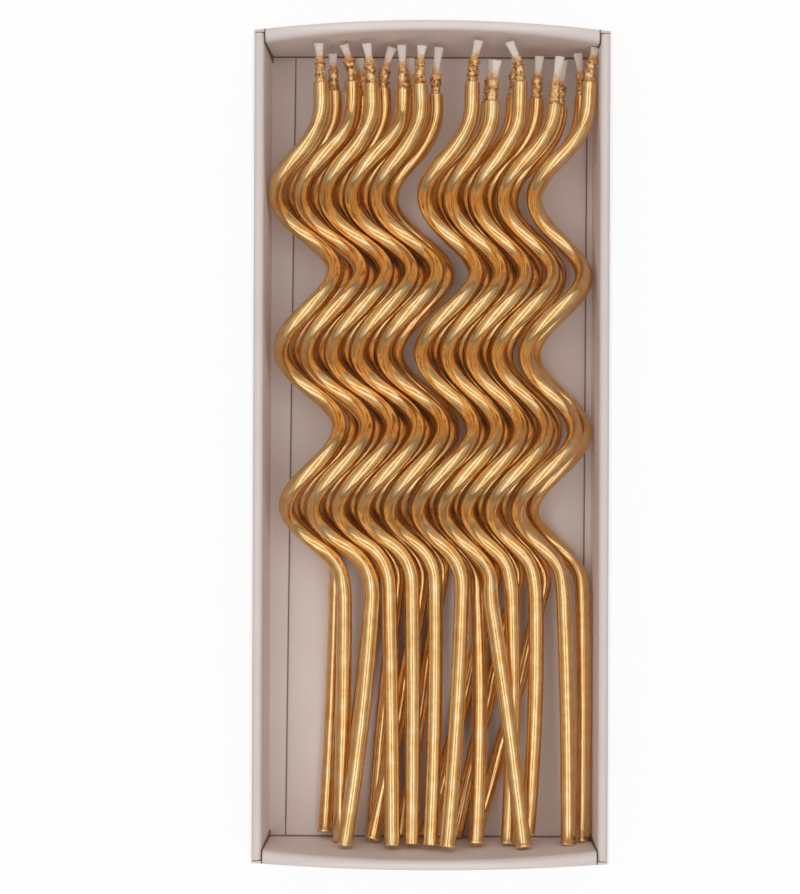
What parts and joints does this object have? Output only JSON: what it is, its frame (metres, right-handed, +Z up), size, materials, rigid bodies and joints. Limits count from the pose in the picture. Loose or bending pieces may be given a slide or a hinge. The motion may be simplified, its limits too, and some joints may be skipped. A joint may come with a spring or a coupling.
{
  "type": "boxed spiral birthday candle set",
  "caption": "Spiral birthday candles, each a straight stem wound into a loose coil with a coated wick, lying in two nested layers in a rolled-edge card tray under a clear slide-off sleeve.",
  "frame": {"origin": "Centre of the bounding box in X and Y, at its bottom, which is the underside of the sleeve.", "axes": "+Z up from the tray's floor to its open side, +Y along the candles towards their wicks, +X across the row, to the right when the wicks point away."},
  "size_m": [0.068, 0.1606, 0.0209],
  "materials": {
    "card": "uncoated pale card",
    "film": "clear thin film",
    "wax": "gold lacquered wax",
    "wick": "waxed cotton cord"
  },
  "bodies": {
    "tray": {"tray": "card", "candle_01_wax": "wax", "candle_02_wax": "wax", "candle_03_wax": "wax", "candle_04_wax": "wax", "candle_05_wax": "wax", "candle_06_wax": "wax", "candle_07_wax": "wax", "candle_08_wax": "wax", "candle_09_wax": "wax", "candle_10_wax": "wax", "candle_11_wax": "wax", "candle_12_wax": "wax", "candle_13_wax": "wax", "candle_14_wax": "wax", "candle_15_wax": "wax", "candle_16_wax": "wax", "candle_17_wax": "wax", "candle_18_wax": "wax", "candle_19_wax": "wax", "candle_20_wax": "wax", "candle_01_wick": "wick", "candle_02_wick": "wick", "candle_03_wick": "wick", "candle_04_wick": "wick", "candle_05_wick": "wick", "candle_06_wick": "wick", "candle_07_wick": "wick", "candle_08_wick": "wick", "candle_09_wick": "wick", "candle_10_wick": "wick", "candle_11_wick": "wick", "candle_12_wick": "wick", "candle_13_wick": "wick", "candle_14_wick": "wick", "candle_15_wick": "wick", "candle_16_wick": "wick", "candle_17_wick": "wick", "candle_18_wick": "wick", "candle_19_wick": "wick", "candle_20_wick": "wick"},
    "sleeve": {"sleeve": "film"}
  },
  "joints": [
    {"name": "sleeve_slide", "type": "slide", "parent": "tray", "child": "sleeve", "axis": [0, 1, 0], "range_m": [0, 0.165]}
  ]
}
